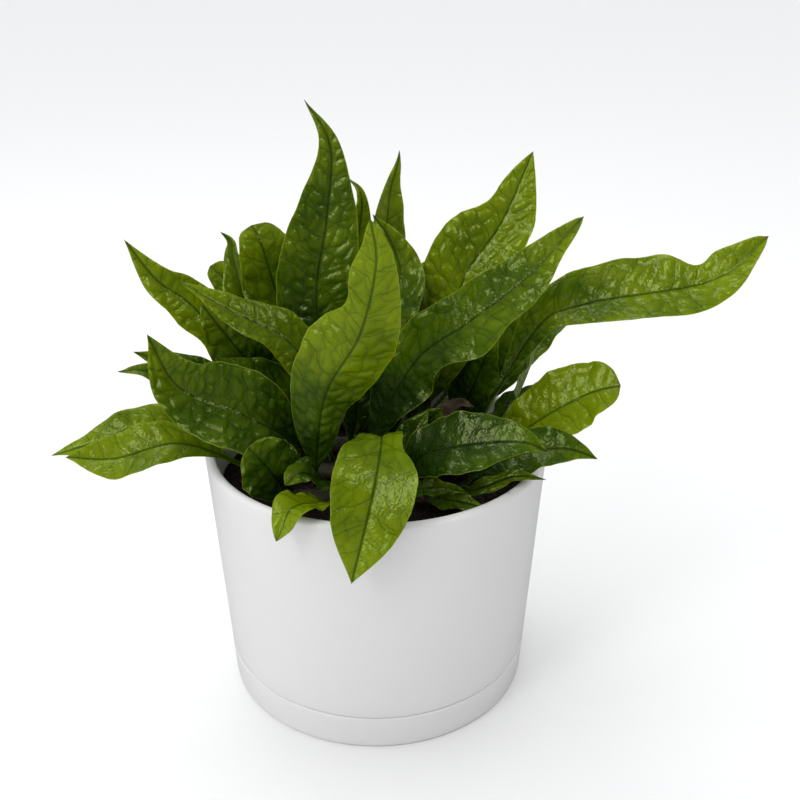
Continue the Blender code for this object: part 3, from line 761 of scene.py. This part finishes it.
def ceramicPot():
    top, wall, edge, bevel, rimRound = (pot[key] for key in
                                        ("top", "wall", "edge", "bevel", "rimRound"))
    drain, spigotBevel = pot["drainRadius"], pot["spigotBevel"]
    straight = top - pot["straightRim"]
    bottom = pot["saucerFloor"] + pot["gap"]
    profile = arc((pot["rimRadius"] - wall + rimRound, top - rimRound), rimRound, 180, 90, 8)
    profile += arc((outerRadius(top) - rimRound, top - rimRound), rimRound, 90, 2, 8)
    profile += [(outerRadius(h), h) for h in np.linspace(straight, shoulder + edge + 0.2, 20)]
    profile += arc((outerRadius(shoulder) - edge, shoulder + edge), edge, 0, -90, 5)
    profile += [(spigotRadius + 1, shoulder), (spigotRadius, shoulder - spigotBevel),
                (spigotRadius, bottom + spigotBevel), (spigotRadius - spigotBevel, bottom),
                (drain + bevel, bottom), (drain, bottom + bevel),
                (drain, innerFloor - bevel), (drain + bevel, innerFloor),
                (innerFoot - bevel, innerFloor), (innerFoot, innerFloor + bevel),
                (innerFoot, innerStep)]
    profile += [(outerRadius(h) - wall, h) for h in np.linspace(innerStep + wall, straight, 12)]
    settle(revolve("ceramicPot", profile, True, pot["steps"], glaze), "ceramic", "pot")


def ceramicSaucer():
    height, floor, edge, footRound = (pot[key] for key in
                                      ("saucerHeight", "saucerFloor", "edge", "footRound"))
    top, inner = outerRadius(height), pot["footRadius"] - pot["saucerWall"]
    lip = top - pot["saucerWall"] / 2
    profile = [(0, floor), (inner - 1, floor), (inner, floor + 1),
               (lip - pot["lipIn"], height - pot["lipDown"]), (lip, height)]
    profile += arc((top - edge, height - edge), edge, 90, 0, 5)
    profile += [(outerRadius(h), h) for h in pot["saucerRings"]]
    profile += arc((outerRadius(0) - footRound, footRound), footRound, 0, -90, 6)
    profile += [(0, 0)]
    settle(revolve("ceramicSaucer", profile, False, pot["steps"], glaze), "ceramic", "saucer")


glaze = glazeMaterial()
ceramicPot()
ceramicSaucer()
print("pot and saucer turned")


# Soil: a rough bed, with loose crumbs and bark scattered on it. Densities are per square metre.

soil = dict(rings=54, spokes=220, rough=1.1, roughSize=14, fine=0.45, fineSize=2.3, sink=1.2,
            sinkWidth=5, wallGap=0.1, roughness=0.9, gloss=0.25, bump=0.6, bumpStrength=0.9)
# The bed's near-black colours are partly the damp soil's own and partly painted shade under the
# leaves.
bedLook = dict(dark=solid(0.004, 0.003, 0.002), light=solid(0.022, 0.015, 0.010), grain=700.0)
loose = (
    dict(name="soilCrumbs", look="crumbs", dark=solid(0.006, 0.004, 0.003),
         light=solid(0.030, 0.020, 0.012), grain=900.0,
         seed=3, density=2.6e5, size=1.5, flat=0.9, detail=1),
    dict(name="barkChips", look="bark", dark=solid(0.012, 0.007, 0.004),
         light=solid(0.055, 0.032, 0.018), grain=500.0,
         seed=8, density=1.6e4, size=5.0, flat=0.45, detail=2),
)
scattered = dict(fromWall=2, depth=3, least=(0.35, 0.35, 0.3), most=(1.3, 1.0, 0.9),
                 turn=(0.5, 0.5, 3.1), lumpSize=1.3, lumpDepth=0.7)


def soilMaterial(name, entry):
    look, tree, shader = newMaterial(name, **{"Roughness": soil["roughness"],
                                              "Specular IOR Level": soil["gloss"]})
    place = objectPlace(tree)
    grain = step(tree, clouds(tree, place, entry["grain"], 5.0), 0.3, 0.75)
    feed(tree, shader.inputs["Base Color"], mixed(tree, grain, entry["dark"], entry["light"]))
    height = clouds(tree, place, entry["grain"] * 1.7, 5.0)
    bumped(tree, shader, height, soil["bump"] * mm, soil["bumpStrength"])
    return look


def soilBed():
    wall = pot["wall"] + pot["gap"]
    level = plant["soilTop"]
    taperFoot = innerStep + pot["wall"]
    foot, bottom = innerFoot - pot["gap"], innerFloor + pot["gap"]
    edge = outerRadius(level) - wall - soil["wallGap"]
    profile = [(edge * i / soil["rings"], level) for i in range(soil["rings"] + 1)]
    profile += [(outerRadius(taperFoot) - wall, taperFoot), (foot, innerStep), (foot, bottom)]
    profile += [(0, bottom)]
    bed = revolve("soilBed", profile, False, soil["spokes"], soilMaterial("dampShadedSoil", bedLook))
    for vertex in bed.data.vertices:
        if vertex.co.z > (level - 0.1) * mm:
            spot = vertex.co / mm
            lift = soil["rough"] * noise.noise(spot / soil["roughSize"])
            lift += soil["fine"] * noise.noise(spot / soil["fineSize"])
            fromEdge = edge - math.hypot(spot.x, spot.y)
            lift -= soil["sink"] * max(0, 1 - fromEdge / soil["sinkWidth"])  # sinks at the wall
            vertex.co.z += lift * mm
    settle(bed, "soil", "soil")
    return bed


def randomVector(tree, least, most):
    return newNode(tree, "FunctionNodeRandomValue", {0: least, 1: most},
                   data_type="FLOAT_VECTOR").outputs[0]


def scatterTree():
    tree = bpy.data.node_groups.new("scatteredPieces", "GeometryNodeTree")
    given = treeInputs(tree, "size reach floor", Geometry="bed", Int="seed detail",
                       Float="density size flat reach floor", Material="look")
    do, _, times = arithmetic(tree)
    place = newNode(tree, "GeometryNodeInputPosition").outputs[0]
    x, y, z = parted(tree, place)
    inside = do("LESS_THAN", vector(tree, "LENGTH", joined(tree, x, y)), given["reach"])
    points = newNode(tree, "GeometryNodeDistributePointsOnFaces", dict(
        Mesh=given["bed"], Selection=times(inside, do("GREATER_THAN", z, given["floor"])),
        Density=given["density"], Seed=given["seed"]))
    crumb = newNode(tree, "GeometryNodeMeshIcoSphere",
                    dict(Radius=0.5, Subdivisions=given["detail"])).outputs[0]
    scale = randomVector(tree, scattered["least"], scattered["most"])
    turn = randomVector(tree, [-angle for angle in scattered["turn"]], scattered["turn"])
    scale = vector(tree, "SCALE", scale, given["size"])
    scale = vector(tree, "MULTIPLY", scale, joined(tree, 1.0, given["flat"], given["flat"]))
    geometry = passed(tree, "GeometryNodeInstanceOnPoints", points.outputs["Points"],
                      Instance=crumb, Rotation=turn, Scale=scale)
    geometry = passed(tree, "GeometryNodeRealizeInstances", geometry)
    lumps = dict(Vector=place, Scale=do("DIVIDE", scattered["lumpSize"], given["size"]))
    lumps = newNode(tree, "ShaderNodeTexNoise", lumps).outputs[1]
    shift = vector(tree, "SUBTRACT", lumps, (0.5, 0.5, 0.5))
    shift = vector(tree, "SCALE", shift, times(given["size"], scattered["lumpDepth"]))
    geometry = passed(tree, "GeometryNodeSetPosition", geometry, Offset=shift)
    return finished(tree, geometry, given["look"])


def scatter(bed, tree, entry):
    guide = placed(entry["name"], bed.data.copy())
    guide.data.materials.clear()
    level = plant["soilTop"]
    values = dict(look=soilMaterial(entry["look"], entry), floor=level - scattered["depth"],
                  reach=outerRadius(level) - pot["wall"] - scattered["fromWall"])
    settle(plainMesh(guide, tree, entry | values), "soil")


bed = soilBed()
pieceTree = scatterTree()
for entry in loose:
    scatter(bed, pieceTree, entry)
print("soil laid")


# Rhizomes: creeping stems set with papery scales.

stem = dict(radius=4.3, points=60, sides=20, endRound=60, lumpSize=90.0, lumpSwing=0.5,
            lumpLeast=0.72, leastRadius=0.02, scales=9.0e4, scaleLength=3.4, scaleWidth=1.5,
            scaleFlat=0.22, scaleLean=0.32, scaleVary=(0.6, 1.25), roughness=0.7, grain=300.0,
            bumpSize=900.0, bump=0.3, bumpStrength=0.7)
# The stem and scale colours are kept very dark: partly their own brown, partly painted shade where
# the rhizomes lie under the fronds.
barkColours = (solid(0.014, 0.016, 0.005), solid(0.045, 0.040, 0.014))
scaleColours = (solid(0.020, 0.010, 0.005), solid(0.075, 0.042, 0.020))


def stemTree():
    tree = bpy.data.node_groups.new("scalyStem", "GeometryNodeTree")
    given = treeInputs(tree, "radius scaleLength scaleWidth", Geometry="path",
                       Float="radius scales scaleLength scaleWidth", Int="sides seed",
                       Material="look")
    do, _, times = arithmetic(tree)
    curve = passed(tree, "GeometryNodeMeshToCurve", given["path"])
    place = newNode(tree, "GeometryNodeInputPosition").outputs[0]
    share = newNode(tree, "GeometryNodeSplineParameter").outputs["Factor"]
    ends = times(share, do("SUBTRACT", 1, share), stem["endRound"])
    ends = do("SQRT", clamped(tree, ends))
    swell = do("MULTIPLY_ADD", clouds(tree, place, stem["lumpSize"]), stem["lumpSwing"],
               stem["lumpLeast"])
    radius = do("MAXIMUM", stem["leastRadius"], times(ends, swell))
    curve = passed(tree, "GeometryNodeSetCurveRadius", curve, Radius=radius)
    ring = newNode(tree, "GeometryNodeCurvePrimitiveCircle",
                   dict(Resolution=given["sides"], Radius=given["radius"])).outputs[0]
    tube = passed(tree, "GeometryNodeCurveToMesh", curve,
                  **{"Profile Curve": ring, "Scale": radius, "Fill Caps": True})
    tube = passed(tree, "GeometryNodeSetShadeSmooth", tube)
    points = newNode(tree, "GeometryNodeDistributePointsOnFaces",
                     dict(Mesh=tube, Density=given["scales"], Seed=given["seed"])).outputs
    flake = newNode(tree, "GeometryNodeMeshCone",
                    {"Vertices": 6, "Radius Bottom": 0.5, "Depth": 1.0}).outputs[0]
    lean = vector(tree, "ADD", namedField(tree, "along"),
                  vector(tree, "SCALE", points["Normal"], stem["scaleLean"]))
    aim = newNode(tree, "FunctionNodeAlignRotationToVector", dict(Vector=lean), axis="Z")
    turn = newNode(tree, "FunctionNodeAlignRotationToVector",
                   dict(Rotation=aim.outputs[0], Vector=points["Normal"]),
                   axis="Y", pivot_axis="Z").outputs[0]
    size = newNode(tree, "FunctionNodeRandomValue", zip((2, 3), stem["scaleVary"]),
                   data_type="FLOAT").outputs[1]
    scale = joined(tree, given["scaleWidth"], times(given["scaleWidth"], stem["scaleFlat"]),
                   given["scaleLength"])
    scales = passed(tree, "GeometryNodeInstanceOnPoints", points["Points"], Instance=flake,
                    Rotation=turn, Scale=vector(tree, "SCALE", scale, size))
    scales = store(tree, scales, "flake", 1.0, "FLOAT", "INSTANCE")
    both = newNode(tree, "GeometryNodeJoinGeometry")
    for part in (tube, scales):
        tree.links.new(part, both.inputs[0])
    return finished(tree, both.outputs[0], given["look"])


def rhizomeMaterial():
    look, tree, shader = newMaterial("rhizomeSkin", Roughness=stem["roughness"])
    place = objectPlace(tree)
    flake = attribute(tree, "flake")["Fac"]
    grain = clouds(tree, place, stem["grain"], 4.0)
    bark, papery = (mixed(tree, grain, *pair) for pair in (barkColours, scaleColours))
    feed(tree, shader.inputs["Base Color"], mixed(tree, flake, bark, papery))
    height = clouds(tree, place, stem["bumpSize"], 4.0)
    bumped(tree, shader, height, stem["bump"] * mm, stem["bumpStrength"])
    return look


stems = stemTree()
skin = rhizomeMaterial()
for number, arm in enumerate(rhizomes, 1):
    route = [rhizomePlace(arm, i / (stem["points"] - 1)) for i in range(stem["points"])]
    along = unit(np.gradient(np.array(route), axis=0))
    guide = guideLine("rhizome" + arm.title(), route, along=along)
    piece = plainMesh(guide, stems, stem | dict(seed=number, look=skin))
    settle(piece, "rhizome", "rhizome_" + arm)
print("rhizomes laid:", len(rhizomes))


# Studio: pale floor, soft light, and the camera. Glossy rays see a dim room with softboxes.

studio = dict(
    floorSize=16.0, floorColour=solid(0.885, 0.885, 0.885), floorInGloss=solid(0.3, 0.3, 0.3),
    worldColour=solid(0.985, 0.99, 1.0), dimSide=0.42, brightSide=1.42, backdrop=0.95, sheen=0.12,
    brightWay=(-0.45, 0.62, 0.6), brightSpan=(-0.55, 0.8), softboxPower=4.5,
    softboxes=((0.63, -0.51, 0.585), (-0.61, -0.70, 0.37)), softboxEdge=(0.95, 0.98),
    target=(0.0122, 0, 0.1545), distance=0.509, pitch=24.57, lens=45,
)
lights = (
    dict(name="keyLight", place=(-0.85, -0.95, 1.35), size=0.45, power=4.4),
    dict(name="backLight", place=(-0.4, 0.7, 1.4), size=0.4, power=1.8),
)


def paleFloor():
    half = studio["floorSize"] / 2
    mesh = bpy.data.meshes.new("paleFloor")
    corners = [(-half, -half, 0), (half, -half, 0), (half, half, 0), (-half, half, 0)]
    mesh.from_pydata(corners, [], [(0, 1, 2, 3)])
    look, tree, shader = newMaterial("paleFloor", **{"Roughness": 0.55,
                                                     "Specular IOR Level": 0.2})
    gloss = newNode(tree, "ShaderNodeLightPath").outputs["Is Glossy Ray"]
    colour = mixed(tree, gloss, studio["floorColour"], studio["floorInGloss"])
    feed(tree, shader.inputs["Base Color"], colour)
    mesh.materials.append(look)
    placed("paleFloor", mesh)


def toward(tree, parts, way):  # how far a direction points this way
    x, y, z = parts
    rest = calc(tree, "MULTIPLY_ADD", y, way[1], calc(tree, "MULTIPLY", z, way[2]))
    return calc(tree, "MULTIPLY_ADD", x, way[0], rest)


def studioLights():
    world = bpy.data.worlds.new("softStudio")
    bpy.context.scene.world = world
    world.use_nodes = True
    tree = world.node_tree
    do, plus, times = arithmetic(tree)
    sky = tree.nodes["Background"]
    sky.inputs["Color"].default_value = studio["worldColour"]
    parts = parted(tree, newNode(tree, "ShaderNodeTexCoord").outputs["Generated"])
    ray = newNode(tree, "ShaderNodeLightPath").outputs
    glow = step(tree, toward(tree, parts, studio["brightWay"]), *studio["brightSpan"],
                studio["dimSide"], studio["brightSide"])
    sheen = times(glow, studio["sheen"])
    for way in studio["softboxes"]:
        box = step(tree, toward(tree, parts, way), *studio["softboxEdge"], 0.0,
                   studio["softboxPower"])
        sheen = plus(sheen, box)
    glow = plus(glow, times(ray["Is Glossy Ray"], do("SUBTRACT", sheen, glow)))
    seen = times(ray["Is Camera Ray"], do("SUBTRACT", studio["backdrop"], glow))
    feed(tree, sky.inputs["Strength"], plus(glow, seen))
    for entry in lights:
        lamp = bpy.data.lights.new(entry["name"], "AREA")
        lamp.size = entry["size"]
        lamp.energy = entry["power"]
        item = placed(entry["name"], lamp)
        item.location = entry["place"]
        aim = Vector(studio["target"]) - item.location
        item.rotation_euler = aim.to_track_quat("-Z", "Y").to_euler()


def studioCamera():
    data = bpy.data.cameras.new("camera")
    data.lens = studio["lens"]
    data.clip_start = 0.01
    camera = placed("camera", data)
    pitch = math.radians(studio["pitch"])
    back = Vector((0, -math.cos(pitch), math.sin(pitch))) * studio["distance"]
    camera.location = Vector(studio["target"]) + back
    camera.rotation_euler = (math.pi / 2 - pitch, 0, 0)
    bpy.context.scene.camera = camera


paleFloor()
studioLights()
studioCamera()
bpy.context.scene.view_settings.view_transform = "Standard"
bpy.context.scene.view_settings.look = "None"
print("studio set")
